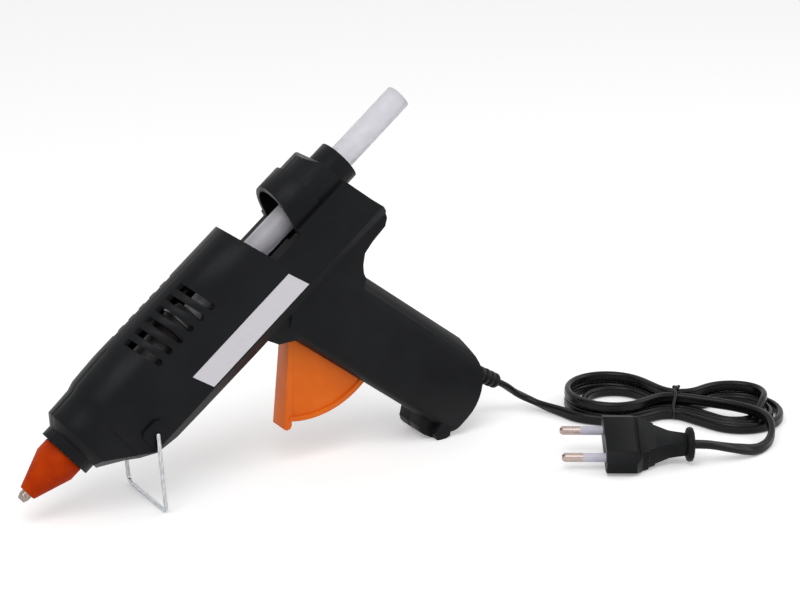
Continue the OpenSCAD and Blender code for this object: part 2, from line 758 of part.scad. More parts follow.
// Silicone inlet sleeve behind the chamber
module inlet_sleeve() {
  color("#c9b9a6") gun_pose() turned([[stick_r + run, chamber_end], [chamber_r + 1, chamber_end],
    [chamber_r + 1, chamber_end + 4],
    [chamber_r - 0.4, chamber_end + 8], [stick_r + run, chamber_end + 8]]);
}

// Wire clamp round the sleeve
module sleeve_clamp() {
  color("#c0c2c4") gun_pose() translate([chamber_end + 2, 0, 0]) rotate([0, 90, 0])
    rotate_extrude() translate([chamber_r + 1.5, 0]) circle(r = 0.5);
}

// Glue stick through the gun
module glue_stick() {
  color("#d8d4d4") gun_pose() bar_x(stick_r, stick_front, stick_end);
}

// Feed carriage around the stick, with tongues, cheeks and claw ears
module feed_carriage() {
  color("#d9d9d2") gun_pose() difference() {
    union() {
      translate([carriage_u, 0.6 - rail_in, -carriage_half])
        cube([carriage_len, 2 * rail_in - 1.2, 2 * carriage_half]);
      translate([carriage_u, 0.3 - inner_r + wall, -1.5])
        cube([carriage_len, 2 * (inner_r - wall) - 0.6, 3]);
      for (s = [-1, 1]) translate([pivot_u - 4, s > 0 ? arm_half + 0.4 : -arm_half - 4, -drive_low - 3.5])
        cube([drive_u + 8 - pivot_u, 3.6, drive_low - 5]);
      for (s = [-1, 1]) translate([carriage_u - 5, s > 0 ? 6.6 : -9.4, -carriage_half]) cube([6, 2.8, 5]);
    }
    bar_x(stick_r + run, carriage_u - 15, carriage_u + carriage_len + 9);
    bar_y([drive_u, -drive_low], drive_r, -20, 20);
    bar_y(claw_at, claw_r, -20, 20);
  }
}

// Claw plate that bites the stick
module feed_claw() {
  color("#b0b4b8") gun_pose() difference() {
    union() {
      translate([claw_at[0] - 0.8, -9, -3.9]) cube([1.6, 18, 13]);
      translate([claw_at[0] - 0.8, -6.3, -8]) cube([1.6, 12.6, 5]);
      bar_y(claw_at, claw_r + 1, -6.3, 6.3);
    }
    bar_x(stick_r + 0.6, claw_at[0] - 7, claw_at[0] + 7);
    bar_y(claw_at, claw_r + 0.05, -20, 20);
  }
}

// Pin of the claw
module claw_pin() {
  color("#8f9498") gun_pose() bar_y(claw_at, claw_r, -9.4, 9.4);
}

// Spring between claw and carriage
module claw_spring() {
  color("#c8ccd0") gun_pose() difference() {
    translate([0, 0, 7.6]) bar_x(1.1, claw_at[0] + 0.95, carriage_u);
    translate([0, 0, 7.6]) bar_x(0.8, claw_at[0], carriage_u + 1);
  }
}

// Drive pin between trigger arm and carriage
module drive_pin() {
  color("#8f9498") gun_pose() bar_y([drive_u, -drive_low], drive_r, -arm_half - 4, arm_half + 4);
}

// Trigger: finger bar, sector with rim, hub and drive arm
module trigger() {
  hub = [pivot_u, -pivot_low];
  foot = (sector_r - 40) * [-0.78, -0.62];
  color("#d4621e") gun_pose() difference() {
    union() {
      side(concat([hub + [-6.1, -0.1], hub + [-7.8, 1.3]], arc(hub, sector_r - 2, 219, 277, 14),
        [hub + [6, -2]]),
        1.2 - trigger_half, trigger_half - 1.2);
      intersection() {
        difference() {
          bar_y(hub, sector_r, -trigger_half, trigger_half);
          bar_y(hub, sector_r - 2.2, -20, 20);
        }
        side(concat([hub], arc(hub, sector_r + 8, 219, 277, 14)), -20, 20);
      }
      // Finger bar, wider towards its foot
      intersection() {
        side([hub + [-8.1, 1.6], hub + [-6.1, -0.3], hub + foot + [-28.6, -24.6],
          hub + foot + [-31.3, -27.8], hub + foot + [-32.6, -28.4], hub + foot + [-34.2, -27.9],
          hub + foot + [-34.9, -26.6]], -trigger_half, trigger_half);
        translate([hub[0], 0, hub[1]]) rotate([0, 43.8, 0]) rotate([90, 0, 90])
          linear_extrude(height = 60, center = true)
          polygon([[1.4 - trigger_half, 4], [trigger_half - 1.4, 4], [trigger_half, -52],
            [-trigger_half, -52]]);
      }
      bar_y(hub, trigger_pin_r + 3, -trigger_half, trigger_half);
      // Drive arm up to the carriage
      translate([hub[0], 0, hub[1]]) rotate([0, trigger_pull / 2, 0])
        translate([-3.6, -arm_half, 0]) cube([7.2, 2 * arm_half, drive_arm + 3.4]);
    }
    bar_y(hub, trigger_pin_r + 0.05, -20, 20);
    // Slot for the drive pin
    translate([hub[0], 0, hub[1]]) rotate([0, trigger_pull / 2, 0]) {
      translate([-drive_r - 0.06, -20, drive_arm - 0.5]) cube([2 * drive_r + 0.12, 40, 1.6]);
      for (z = [drive_arm - 0.5, drive_arm + 1.1]) translate([0, 20, z]) rotate([90, 0, 0])
        cylinder(r = drive_r + 0.06, h = 40);
    }
    // Room for the return spring on the hub
    bar_y(hub, trigger_pin_r + 3.1, -trigger_half - 1, 2.9 - trigger_half);
    side([hub + [-7.6, 4.6], hub + [-7.6, 0.6], hub + [0, 0.6], hub + [0, 4.6]],
      -trigger_half - 1, 1.9 - trigger_half);
  }
}

// Trigger pivot pin in the housing bosses
module trigger_pin() {
  color("#8f9498") gun_pose() bar_y([pivot_u, -pivot_low], trigger_pin_r, -11, 11);
}

// Torsion return spring on the trigger pin
module return_spring() {
  coil = trigger_pin_r + 1.4;
  near = 0.5 - trigger_half;
  color("#c8ccd0") gun_pose() union() {
    for (i = [0:2]) translate([pivot_u, near + i * 0.78, -pivot_low]) rotate([90, 0, 0])
      rotate_extrude() translate([coil, 0]) circle(r = 0.4, $fn = 20);
    rod([pivot_u - 2.4, near, -pivot_low + 2.41], [pivot_u - 7, near, -pivot_low + 1.6], 0.34);
    rod([pivot_u + 0.8, near + 1.56, -pivot_low + 3.3],
      [pivot_u + 2.2, near + 1.56, -pivot_low + 9.6], 0.34);
  }
}

// Guide ring in the rear collar
module rear_guide() {
  color("#2a2a2c") gun_pose() difference() {
    bar_x(guide_r, hump_end - 10, collar_end - 1);
    bar_x(stick_r + run, hump_end - 20, collar_end + 5);
  }
}

// Folding wire stand
module wire_stand() {
  bend = 3;
  color("#c9ccd0") gun_pose() translate([stand_u, 0, -stand_low]) rotate([0, -leg_angle, 0]) union() {
    for (s = [-1, 1]) {
      rotate([s * 90, 0, 0]) translate([0, 0, -leg_half]) cylinder(r = wire_r, h = leg_half - barrel_r + 5);
      translate([0, s * leg_half, 0]) sphere(r = wire_r, $fn = 32);
      translate([0, s * leg_half, 0]) rotate([0, 90, 0]) cylinder(r = wire_r, h = leg_len - bend);
      translate([leg_len - bend, s * (leg_half - bend), 0]) rotate([0, 0, s > 0 ? 0 : -90])
        rotate_extrude(angle = 90)
        translate([bend, 0]) circle(r = wire_r, $fn = 32);
    }
    translate([leg_len, leg_half - bend, 0]) rotate([90, 0, 0]) cylinder(r = wire_r,
      h = 2 * (leg_half - bend));
  }
}

// Ribbed strain relief at the heel
module strain_relief() {
  n = relief_neck;
  color("#17181a") gun_pose() relief_pose() rotate_extrude() polygon([[0, -17], [n + 1.5, -17],
    [n + 1.5, -15.2], [n, -15.2],
    [n, -6], [n + 0.7, -6], [n + 0.7, -3.6], [n - 0.1, -3.4], [n - 0.1, -2.4], [n + 0.7, -2.2],
      [n + 0.7, -0.4], [n - 0.1, -0.2],
    [n - 0.1, 0.8], [n + 0.6, 1], [n + 0.6, 2.8], [n - 0.2, 3], [n - 0.2, 3.9], [n + 0.5, 4.1],
      [n + 0.4, 5.6], [n - 0.3, 6.5], [0, 6.5]]);
}

// Cord end inside the grip, from the relief to the clamp
module cord_stub() {
  color("#121212") gun_pose() relief_pose() translate([0, 0, -30]) cylinder(r = cord_t / 2, h = 13);
}

// Clamp block on the cord between the two posts
module cord_clamp() {
  color("#2c2d30") gun_pose() difference() {
    relief_pose() translate([-3, -clamp_half, -28.6]) cube([6, 2 * clamp_half, 5.2]);
    relief_pose() translate([0, 0, -40]) cylinder(r = cord_t / 2, h = 30);
  }
}

// Cord from the relief to the hank
module cord_lead() {
  color("#121212") swept(lead_route, cord_w, cord_t, 10);
}

// Wrapped bundle of the rest of the cord, as one body
module cord_hank() {
  color("#121212") translate([hank_at[0], hank_at[1], 0.3]) rotate([0, 0, hank_turn]) difference() {
    linear_extrude(height = hank_h) union() {
      for (s = [-1, 1]) translate([s * hank_reach, 0]) circle(r = hank_end_r);
      square([2 * hank_reach, 2 * waist_half], center = true);
    }
    difference() {
      translate([-tie_w / 2, -40, -1]) cube([tie_w, 80, hank_h + 2]);
      translate([-tie_w, tie_t - waist_half, tie_t])
        cube([2 * tie_w, 2 * (waist_half - tie_t), hank_h - 2 * tie_t]);
    }
  }
}

// Cord from the hank to the plug
module cord_tail() {
  color("#121212") swept(tail_route, cord_w, cord_t, 10);
}

// Tie round the waist of the hank
module cord_tie() {
  color("#1a1a1a") translate([hank_at[0], hank_at[1], 0.3]) rotate([0, 0, hank_turn]) difference() {
    translate([-tie_w / 2, -waist_half, 0]) cube([tie_w, 2 * waist_half, hank_h]);
    translate([-tie_w, tie_t - waist_half, tie_t])
      cube([2 * tie_w, 2 * (waist_half - tie_t), hank_h - 2 * tie_t]);
  }
}

// Place of the plug: z from the pin tips to the tail, x across the pins
module plug_pose() {
  translate(plug_at) rotate([0, 0, plug_turn]) rotate([0, 90, 0]) rotate([0, 0, 90 + plug_roll]) children();
}

// One side of the plug behind its shoulders, with three finger notches
function plug_taper(wide, s) = [[s * wide, 12.8], [s * 13.4, 15.6], [s * 12.2, 15.8], [s * 11.2, 18.6],
  [s * 10, 18.8], [s * 8.8, 21.6], [s * 7.7, 21.8], [s * 5, 28], [s * 3.7, plug_len]];

// Two-pin plug body with a stepped tail
module plug_body() {
  wide = pin_gap / 2 + 7.9;
  face = [[-wide, -2.4], [-wide + 5.2, -5.6], [wide - 5.2, -5.6], [wide, -2.4], [wide, 2.4],
    [wide - 5.2, 5.6],
    [5.2 - wide, 5.6], [-wide, 2.4]];
  color("#17181a") plug_pose() translate([0, 0, pin_len]) difference() {
    union() {
      linear_extrude(height = 13) polygon(face);
      intersection() {
        translate([0, 0, 12.9]) linear_extrude(height = plug_len - 14) polygon(face);
        rotate([90, 0, 0]) linear_extrude(height = 20, center = true)
          polygon(concat(plug_taper(wide, 1), [for (i = [8:-1:0]) plug_taper(wide, -1)[i]]));
        rotate([0, 90, 0]) linear_extrude(height = 40, center = true)
          polygon([[-12.8, -4.6], [-12.8, 4.6], [-14.4, 4.6], [-14.6, 5.3], [-22, 4.8], [-30, 3.6],
            [-plug_len, 2.9], [-plug_len, -2.9], [-30, -3.6], [-22, -4.8], [-14.6, -5.3], [-14.4, -4.6]]);
      }
      translate([0, 0, plug_len - 3.5]) rotate_extrude()
        polygon([[0, 0], [6, 0], [7.2, 0.5], [7.6, 1.4], [7.6, 2.1], [7.2, 3], [6, 3.5], [0, 3.5]]);
    }
    for (s = [-1, 1]) translate([s * pin_gap / 2, 0, -1]) cylinder(r = sleeve_root, h = 5);
    for (s = [-1, 1]) translate([s * pin_gap / 2, 0, -1]) cylinder(r = core_r, h = 8);
  }
}

// Insulating sleeves at the pin roots
module plug_sleeves() {
  color("#c5c3d0") plug_pose() for (s = [-1, 1]) translate([s * pin_gap / 2, 0, 9]) difference() {
    union() {
      cylinder(r = sleeve_r, h = pin_len - 9);
      cylinder(r = sleeve_root, h = pin_len - 9 + 4);
    }
    translate([0, 0, -1]) cylinder(r = core_r, h = 30);
  }
}

// Two round plug pins
module plug_pins() {
  color("#a8a09c") plug_pose() for (s = [-1, 1]) translate([s * pin_gap / 2, 0, 0]) rotate_extrude()
    polygon([[0, 0], [pin_r - 0.8, 0], [pin_r, 1.2], [pin_r, 9], [core_r, 9], [core_r, pin_len + 7],
      [0, pin_len + 7]]);
}

// One conductor from the cord to the heater, side s
module conductor(s, end_z) {
  start = relief_at - 31.2 * relief_dir;
  low = grip_low * 0.655;
  mid = grip_low * 0.551;
  high = grip_low * 0.387;
  floor = 3.6 - barrel_low;
  gun_pose() swept([[start[0], s * 0.9, start[1]], [start[0] - 1.8, s * 2.6, start[1] + 5.8],
    [back(low) - 12.6, s * 8, -low],
    [back(mid) - 11.8, s * 9.6, -mid], [back(high) - 14, s * 9.6, -high],
      [pivot_u + 17.6, s * 9.6, floor - 8],
    [pivot_u + 14, s * 9.6, floor - 2.4], [pivot_u + 8, s * 9.6, floor - 0.2],
      [pivot_u - 16, s * 9.6, floor],
    [chamber_end + 6, s * 7.2, floor + 0.2], [chamber_end - 4, s * 6.6, floor + 0.6],
      [chamber_end - 7.4, s * 5, floor + 4],
    [chamber_end - 8.6, s * 3.2, end_z]], 1.6, 1.6, 8);
}

// Live conductor
module live_wire() {
  color("#7a4a2a") conductor(-1, heater_t - 1.8 - heater_low);
}

// Neutral conductor
module neutral_wire() {
  color("#3f6fb0") conductor(1, -0.8 - heater_low);
}

left_housing();
right_housing();
housing_screws();
rating_plate();
nozzle();
nozzle_cover();
melt_chamber();
ptc_heater();
heater_insulator();
front_support();
rear_support();
inlet_sleeve();
sleeve_clamp();
glue_stick();
feed_carriage();
feed_claw();
claw_pin();
claw_spring();
drive_pin();
trigger();
trigger_pin();
return_spring();
rear_guide();
wire_stand();
strain_relief();
cord_stub();
cord_clamp();
live_wire();
neutral_wire();
cord_lead();
cord_hank();
cord_tail();
cord_tie();
plug_body();
plug_sleeves();
plug_pins();
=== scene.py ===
import math

import bpy
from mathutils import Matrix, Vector


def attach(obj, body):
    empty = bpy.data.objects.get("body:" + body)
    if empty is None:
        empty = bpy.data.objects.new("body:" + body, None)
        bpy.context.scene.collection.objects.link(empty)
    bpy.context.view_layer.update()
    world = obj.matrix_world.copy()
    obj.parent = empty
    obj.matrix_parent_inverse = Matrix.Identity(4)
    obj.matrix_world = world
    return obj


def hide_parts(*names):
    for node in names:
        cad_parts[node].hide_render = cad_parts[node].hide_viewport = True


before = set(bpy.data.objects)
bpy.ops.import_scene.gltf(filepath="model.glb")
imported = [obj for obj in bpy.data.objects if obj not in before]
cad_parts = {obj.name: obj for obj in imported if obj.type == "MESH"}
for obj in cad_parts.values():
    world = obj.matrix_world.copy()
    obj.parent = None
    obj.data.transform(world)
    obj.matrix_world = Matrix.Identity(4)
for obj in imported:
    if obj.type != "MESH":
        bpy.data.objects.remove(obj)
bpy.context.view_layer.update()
bpy.ops.object.select_all(action="DESELECT")

# Housing halves: two injection-moulded shells that meet on the middle plane of the gun and are
# screwed together from the far side. Black ABS with a fine spark-eroded grain and soft edges.
# Lengths are written in millimetres and handed to Blender in metres
mm = 0.001


def linear(code):
    """sRGB hex colour as linear red, green, blue and alpha."""
    parts = [int(code[i:i + 2], 16) / 255 for i in (1, 3, 5)]
    return [c / 12.92 if c <= 0.04045 else ((c + 0.055) / 1.055) ** 2.4 for c in parts] + [1.0]


def add(tree, kind, values=None, links=None, **settings):
    """A shader node with its settings, its values and the outputs that feed it."""
    node = tree.nodes.new("ShaderNode" + kind)
    for name, value in settings.items():
        setattr(node, name, value)
    for name, value in (values or {}).items():
        node.inputs[name].default_value = value
    for name, output in (links or {}).items():
        tree.links.new(output, node.inputs[name])
    return node


def finish(name):
    """A new material, its nodes and its shader."""
    material = bpy.data.materials.new(name)
    material.use_nodes = True
    return material, material.node_tree, material.node_tree.nodes["Principled BSDF"]


def dress(node, material):
    """Gives a CAD node its finish."""
    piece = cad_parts[node]
    if not piece.material_slots:
        piece.data.materials.append(material)
    for slot in piece.material_slots:
        slot.material = material
    return piece


def soften(node, width_mm, sharp_deg=24, flat_deg=0.6, weld_mm=0.01):
    """Rounds a moulded node's sharp edges with live modifiers: weld, flatten, bevel."""
    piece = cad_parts[node]
    piece.data.polygons.foreach_set("use_smooth", [True] * len(piece.data.polygons))
    weld = piece.modifiers.new("joined", "WELD")
    weld.merge_threshold = weld_mm * mm
    flat = piece.modifiers.new("flats", "DECIMATE")
    flat.decimate_type = "DISSOLVE"
    flat.angle_limit = math.radians(flat_deg)
    edge = piece.modifiers.new("edges", "BEVEL")
    edge.width = width_mm * mm
    edge.segments = 2
    edge.limit_method = "ANGLE"
    edge.angle_limit = math.radians(sharp_deg)
    edge.harden_normals = True
    return piece


def moulded(name, dark, light, grain_mm, relief_mm, roughness, patch_mm=22, mirror=0.25, spread=0.06):
    """Moulded plastic: slow shade patches from the flow of the melt, and a fine grain from the tool.

    The real grain is 0.1 to 0.2 mm on most pieces. It is drawn coarser, at grain_mm, so that it shows.
    """
    material, tree, shader = finish(name)
    place = add(tree, "TexCoord").outputs["Object"]
    flow = add(tree, "TexNoise", {"Scale": 1000 / patch_mm, "Detail": 3.0}, {"Vector": place})
    tint = add(tree, "ValToRGB", links={"Fac": flow.outputs["Fac"]})
    tint.color_ramp.elements[0].position = 0.3
    tint.color_ramp.elements[0].color = linear(dark)
    tint.color_ramp.elements[1].position = 0.72
    tint.color_ramp.elements[1].color = linear(light)
    tree.links.new(tint.outputs["Color"], shader.inputs["Base Color"])
    grain = add(tree, "TexNoise", {"Scale": 1000 / grain_mm, "Detail": 2.0}, {"Vector": place})
    dull = add(tree, "MapRange", {"From Min": 0.3, "From Max": 0.7, "To Min": roughness - spread,
               "To Max": roughness + spread}, {"Value": grain.outputs["Fac"]})
    tree.links.new(dull.outputs["Result"], shader.inputs["Roughness"])
    skin = add(tree, "Bump", {"Strength": 0.5, "Distance": relief_mm * mm},
               {"Height": grain.outputs["Fac"]})
    tree.links.new(skin.outputs["Normal"], shader.inputs["Normal"])
    shader.inputs["IOR"].default_value = 1.5
    shader.inputs["Specular IOR Level"].default_value = mirror
    return material


# Black ABS: the tool grain scatters the light, so flats look deep black and edges a soft grey. The
# real grain is about 0.15 mm, drawn at 0.5 mm.
housing_abs = moulded("spark_grained_black_abs", "#101113", "#17181a", 0.5, 0.05, 0.4, mirror=0.1)
for half in ("left_housing", "right_housing"):
    dress(half, housing_abs)
    soften(half, 0.7)

# Rating plate: a thin plastic film with a pale satin face, stuck into its shallow recess on the
# near half. It is left bare.
# Satin polyester film: an even pale grey with a faint streak along the web and a broad, weak shine.
label_film, tree, shader = finish("satin_label_film")
place = add(tree, "TexCoord").outputs["Object"]
# Streaks about 4 mm long and 0.3 mm thin, drawn coarser than real ones so that they show
streak_scale = 4.0
streak_stretch = (60.0, 60.0, 900.0)
streak = add(tree, "Mapping", {"Scale": streak_stretch}, {"Vector": place})
fibre = add(tree, "TexNoise", {"Scale": streak_scale, "Detail": 4.0},
            {"Vector": streak.outputs["Vector"]})
tone = add(tree, "ValToRGB", links={"Fac": fibre.outputs["Fac"]})
tone.color_ramp.elements[0].color = linear("#c3c0c7")
tone.color_ramp.elements[1].color = linear("#d9d6dc")
tree.links.new(tone.outputs["Color"], shader.inputs["Base Color"])
satin = add(tree, "MapRange", {"To Min": 0.32, "To Max": 0.5}, {"Value": fibre.outputs["Fac"]})
tree.links.new(satin.outputs["Result"], shader.inputs["Roughness"])
shader.inputs["IOR"].default_value = 1.49
dress("rating_plate", label_film)


# Housing screws: zinc-plated steel thread-formers, driven from the far side into bosses of the
# near half. The plating gives a faint mottled grey.
def metal(name, dark, light, roughness, mark_mm, stretch=(1.0, 1.0, 1.0), turn=(0.0, 0.0, 0.0),
          depth_mm=0.01, smoother=0.05, rougher=0.07):
    """Bare or plated metal whose fine marks run along one direction."""
    material, tree, shader = finish(name)
    place = add(tree, "TexCoord").outputs["Object"]
    run = add(tree, "Mapping", {"Rotation": turn, "Scale": stretch}, {"Vector": place})
    marks = add(tree, "TexNoise", {"Scale": 1000 / mark_mm, "Detail": 3.0},
                {"Vector": run.outputs["Vector"]})
    tint = add(tree, "ValToRGB", links={"Fac": marks.outputs["Fac"]})
    tint.color_ramp.elements[0].position = 0.32
    tint.color_ramp.elements[0].color = linear(dark)
    tint.color_ramp.elements[1].position = 0.68
    tint.color_ramp.elements[1].color = linear(light)
    tree.links.new(tint.outputs["Color"], shader.inputs["Base Color"])
    polish = add(tree, "MapRange", {"From Min": 0.3, "From Max": 0.7, "To Min": roughness - smoother,
                 "To Max": roughness + rougher}, {"Value": marks.outputs["Fac"]})
    tree.links.new(polish.outputs["Result"], shader.inputs["Roughness"])
    lines = add(tree, "Bump", {"Strength": 0.35, "Distance": depth_mm * mm},
                {"Height": marks.outputs["Fac"]})
    tree.links.new(lines.outputs["Normal"], shader.inputs["Normal"])
    shader.inputs["Metallic"].default_value = 1.0
    return material


# Zinc plate: a cool grey, cloudy shine.
zinc_plate = metal("zinc_plated_steel", "#84868a", "#a9abae", 0.36, 1.2)
dress("housing_screws", zinc_plate)

# Nozzle: nickel-plated brass turned on a lathe and screwed into the melt chamber. The tool leaves
# fine rings round the barrel axis, which lies 39 degrees nose-down.
barrel_pitch = math.radians(39)
# Turned and plated: a warm bright shine drawn out round the tip. The rings are 0.2 mm apart, as a
# lathe leaves them.
plated_brass = metal("nickel_plated_turned_brass", "#80746c", "#ab9f97", 0.26, 2.0,
                     stretch=(9.0, 0.6, 0.6), turn=(0.0, barrel_pitch, 0.0))
dress("nozzle", plated_brass)

# Nozzle cover: a heat-proof cone of orange silicone rubber, moulded in one and pulled over the hot
# nozzle, where its own stretch holds it.
# Silicone rubber: no clear reflection, only a soft bloom, and a deep, slightly patchy orange.
cover_silicone = moulded("orange_silicone_rubber", "#a02900", "#ba3c00", 0.8, 0.04, 0.55, patch_mm=9,
                         mirror=0.06)
dress("nozzle_cover", cover_silicone)
soften("nozzle_cover", 0.3)

# Heating unit, hidden in the barrel: a die-cast aluminium melt chamber held by two phenolic
# rings, with a silicone sleeve on its mouth, a ceramic heater in its film wrap below and two
# conductors from the cord.
# Blasted casting: a dull grey with a coarse sparkle, darkened by the heat of use.
cast_aluminium = metal("sand_blasted_die_cast_aluminium", "#454544", "#5c5c5a", 0.58, 0.9, depth_mm=0.04)
dress("melt_chamber", cast_aluminium)

# Fired ceramic between metal plates: dark, dry and matte.
heater_ceramic = moulded("heater_ceramic_and_plates", "#37393c", "#4b4e52", 0.6, 0.02, 0.6, patch_mm=6)
dress("ptc_heater", heater_ceramic)

# Polyimide film: amber, smooth and shiny.
insulator_film = moulded("amber_polyimide_film", "#a87a2c", "#cc9a48", 1.5, 0.01, 0.28, patch_mm=7)
dress("heater_insulator", insulator_film)

# Phenolic: brown-black and dry, with a fine speckle of filler.
phenolic = moulded("dark_phenolic_moulding", "#1c1714", "#2a221d", 0.5, 0.04, 0.62, patch_mm=3)
for ring in ("front_support", "rear_support"):
    dress(ring, phenolic)

# Grey silicone: soft and without shine.
sleeve_silicone = moulded("grey_silicone_rubber", "#3d3c3b", "#4b4a49", 0.7, 0.03, 0.55, patch_mm=6)
dress("inlet_sleeve", sleeve_silicone)

# PVC insulation: an even, slightly waxy colour, brown for live and blue for neutral.
brown_pvc = moulded("brown_pvc_insulation", "#6d3f22", "#874f30", 0.6, 0.02, 0.42, patch_mm=8)
blue_pvc = moulded("blue_pvc_insulation", "#3561a0", "#4a7cc0", 0.6, 0.02, 0.42, patch_mm=8)
dress("live_wire", brown_pvc)
dress("neutral_wire", blue_pvc)

# Glue stick: a cast rod of translucent hot-melt EVA, milky with faint clouds and a dull, slightly
# waxy skin, sliding through the whole gun.
# Hot-melt EVA: light passes into it, so it glows milky before a pale ground and turns grey before
# a dark one.
hot_melt, tree, shader = finish("translucent_hot_melt_eva")
place = add(tree, "TexCoord").outputs["Object"]
cloud_mm = 6
cloud = add(tree, "TexNoise", {"Scale": 1000 / cloud_mm, "Detail": 3.0}, {"Vector": place})
milk = add(tree, "ValToRGB", links={"Fac": cloud.outputs["Fac"]})
milk.color_ramp.elements[0].position = 0.3
milk.color_ramp.elements[0].color = linear("#dcdae2")
milk.color_ramp.elements[1].position = 0.7
milk.color_ramp.elements[1].color = linear("#ebe9ee")
tree.links.new(milk.outputs["Color"], shader.inputs["Base Color"])
waxy = add(tree, "MapRange", {"From Min": 0.3, "From Max": 0.7, "To Min": 0.34, "To Max": 0.46},
           {"Value": cloud.outputs["Fac"]})
tree.links.new(waxy.outputs["Result"], shader.inputs["Roughness"])
shader.inputs["Transmission Weight"].default_value = 0.55
shader.inputs["Subsurface Weight"].default_value = 0.3
shader.inputs["Subsurface Radius"].default_value = (0.006, 0.005, 0.005)
shader.inputs["IOR"].default_value = 1.48
dress("glue_stick", hot_melt)
soften("glue_stick", 0.5)

# Feed works, hidden behind the window: a white nylon carriage on two rails, a stamped spring-steel
# claw that bites the stick, their pins and the small coil spring between them.
# Natural nylon: milky white with a greasy sheen.
carriage_nylon = moulded("natural_nylon_moulding", "#cfcfc8", "#e0e0da", 0.7, 0.03, 0.48)
dress("feed_carriage", carriage_nylon)
soften("feed_carriage", 0.3)

# Spring steel: a hard grey shine with fine rolling lines.
spring_steel = metal("blued_grey_spring_steel", "#85898d", "#b5b9bd", 0.3, 1.5, stretch=(1.0, 8.0, 1.0))
for steel_piece in ("feed_claw", "claw_pin", "drive_pin", "trigger_pin", "claw_spring", "return_spring",
                    "sleeve_clamp"):
    dress(steel_piece, spring_steel)

# Trigger: one orange ABS moulding with a finger bar, a sector that closes the slot in the grip, a
# thicker rim, and the arm that drives the carriage. It turns on a steel pin.
# Orange ABS: a full, even orange, with the housing's grain and a pale line of light on round edges.
trigger_abs = moulded("spark_grained_orange_abs", "#dc6109", "#ea7214", 0.5, 0.04, 0.36, mirror=0.2)
dress("trigger", trigger_abs)
soften("trigger", 0.9)

# Rear guide: a ring pressed into the rear collar, which centres the stick as it is pushed in.
# Injection-moulded nylon, black all through.
# Black nylon: charcoal, smooth, a little greasy.
guide_nylon = moulded("black_nylon_moulding", "#232325", "#2e2e31", 0.6, 0.03, 0.45)
dress("rear_guide", guide_nylon)

# Stand: one piece of bright steel wire, bent to a U, whose ends spring into the two pads on the
# nose. Drawing leaves fine lines along the wire.
# Drawn wire: a bright mirror line along it, broken by fine scratches.
bright_wire = metal("bright_drawn_steel_wire", "#9fa2a6", "#dadcdf", 0.2, 1.6, stretch=(4.0, 4.0, 0.5))
dress("wire_stand", bright_wire)

# Strain relief: a ribbed soft-PVC boot moulded on the cord, its collar held in the heel; inside, a
# short stub of cord runs on to a nylon clamp.
# Soft PVC: black with a dull, rubbery shine on the ribs.
relief_pvc = moulded("soft_black_pvc_boot", "#101112", "#17181a", 0.6, 0.03, 0.42, patch_mm=8, mirror=0.2)
dress("strain_relief", relief_pvc)
soften("strain_relief", 0.25)
dress("cord_clamp", guide_nylon)

# Cord: flat twin PVC flex, 5.2 by 3.2 mm, standing on its edge in a tied hank of three turns. It
# leaves the relief, sags to the table, winds through the hank and runs over it to the plug.
# Extruded PVC: smooth, so each core carries a long narrow line of light.
cord_jacket = moulded("glossy_black_pvc_flex", "#08080a", "#0d0d0f", 1.2, 0.02, 0.28, patch_mm=14,
                      mirror=0.22)
dress("cord_stub", cord_jacket)

flex_wide, flex_thick = 5.2, 3.2
hank_middle, hank_turn = (109.5, -41.7), math.radians(-43.4)
lower_layer, upper_layer = 2.75, 8.05
entry_reach, entry_radius = 30.3, 24.0
hank_turns = 3
bend_steps, shoulder_steps, lobe_steps, core_steps = 4, 5, 14, 8
sample_mm = 1.2
smoothing_sweeps = 8
lead_route = [(37.42, 0, 16.51), (42.18, 0, 13.76), (48, 1, 8.8), (53.6, -1.8, 5.4), (58, -9, 3.2),
              (61.4, -18, 2.8), (64.4, -29, 2.75)]
tail_route = [(117.6, -53, 7.9), (125.6, -64.6, 7.9), (129.2, -75, 8.1), (128.4, -85.4, 7.6),
              (121.6, -94.4, 3.8), (110.6, -98.8, 2.4), (98, -98.4, 5.4), (84.88, -94.31, 8.8),
              (79.79, -91.14, 8.8)]


def ease(t):
    """Soft step from 0 to 1."""
    t = min(max(t, 0.0), 1.0)
    return t * t * (3 - 2 * t)


def half_strand(waist, bend, reach, radius):
    """From the waist of the hank, in a bend and a straight run, to the shoulder of a lobe."""
    tilt = math.asin((radius + bend) / math.hypot(reach, waist + bend)) - math.atan2(waist + bend, reach)
    inner = [(bend * math.sin(a), waist + bend - bend * math.cos(a))
             for a in [tilt * i / bend_steps for i in range(bend_steps + 1)]]
    outer = [(reach - radius * math.sin(a), radius * math.cos(a))
             for a in [tilt * i / shoulder_steps for i in range(shoulder_steps, -1, -1)]]
    return inner + outer


def on_hank(p, q, z):
    """A point of the hank, along and across it, on the table."""
    c, s = math.cos(hank_turn), math.sin(hank_turn)
    return (hank_middle[0] + p * c - q * s, hank_middle[1] + p * s + q * c, z)


# Places of the strands at the waist, their bends there, and the end loops as reach and radius
near_waist, near_bend = (8.3, 5.0, 1.7, 1.0), (11, 14.3, 17.6, 12.5)
far_waist, far_bend = (5.0, 1.7, 3.4), (13, 16.3, 12)
right_lobe = ((28.3, 20.0), (27.6, 16.2), (26.4, 12.6))
left_lobe = ((30.3, 20.0), (27.2, 15.4), (30.3, 20.0))
lobe_angles = [-90 + 180 * i / lobe_steps for i in range(1, lobe_steps)]
swing_from, swing_over = -5, 85
climb_from, climb_over = -42, 60
